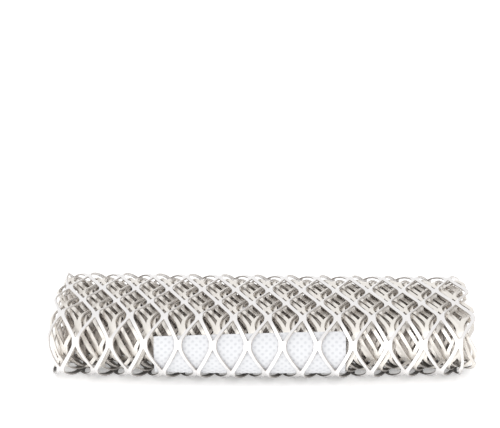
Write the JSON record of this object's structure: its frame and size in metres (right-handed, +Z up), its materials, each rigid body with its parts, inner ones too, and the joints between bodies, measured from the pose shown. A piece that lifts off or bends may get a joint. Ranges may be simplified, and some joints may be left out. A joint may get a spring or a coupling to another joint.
{
  "type": "rolled wire splint",
  "caption": "Strip of soft expanded metal mesh wound into a flattened roll, with a slip of white nonwoven behind its outer turn.",
  "frame": {"origin": "centre of the roll's footprint, on the surface that it lies on", "axes": "+X along the roll, +Y away from the front that shows the white slip, +Z up"},
  "size_m": [0.0948, 0.036, 0.0158],
  "materials": {
    "mesh": "bright mill finish with dull sheared edges",
    "slip": "white nonwoven with a fine embossed dot pattern"
  },
  "bodies": {
    "root": {"mesh_strip": "mesh", "white_slip": "slip"}
  },
  "joints": []
}
